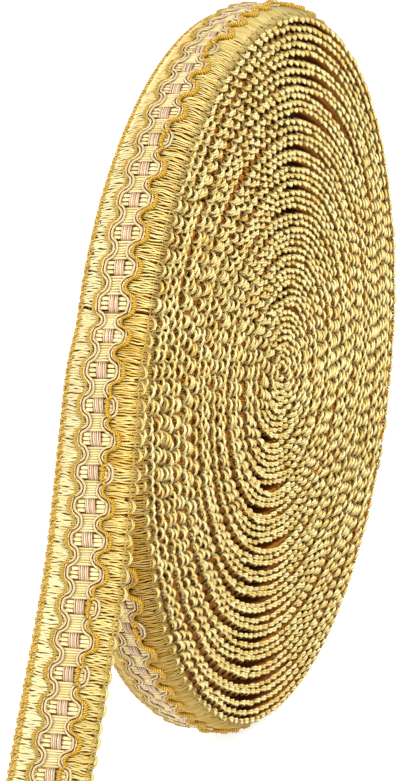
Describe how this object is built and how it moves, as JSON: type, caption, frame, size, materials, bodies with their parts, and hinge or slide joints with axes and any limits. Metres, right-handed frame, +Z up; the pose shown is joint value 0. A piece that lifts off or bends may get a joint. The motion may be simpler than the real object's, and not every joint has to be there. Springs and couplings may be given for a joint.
{
  "type": "gimp braid trim roll",
  "caption": "Flat gold gimp braid wound on itself into a round roll that stands on its rim, its loose outer end hanging off the front and lying on the floor.",
  "frame": {"origin": "centre of the small flat foot that the roll stands on", "axes": "+Z up through the roll's axis, +X away from the loose end in the plane of the winding, +Y along the roll's axis, from the face shown to the one behind"},
  "size_m": [0.3107, 0.02, 0.1877],
  "materials": {
    "wound_braid": "gold yarn loops, satin sheen",
    "loose_braid": "pale gold cross threads with cream, deep gold and rose-beige cords, satin sheen"
  },
  "bodies": {
    "root": {"roll": "wound_braid", "tail": "loose_braid"}
  },
  "joints": []
}
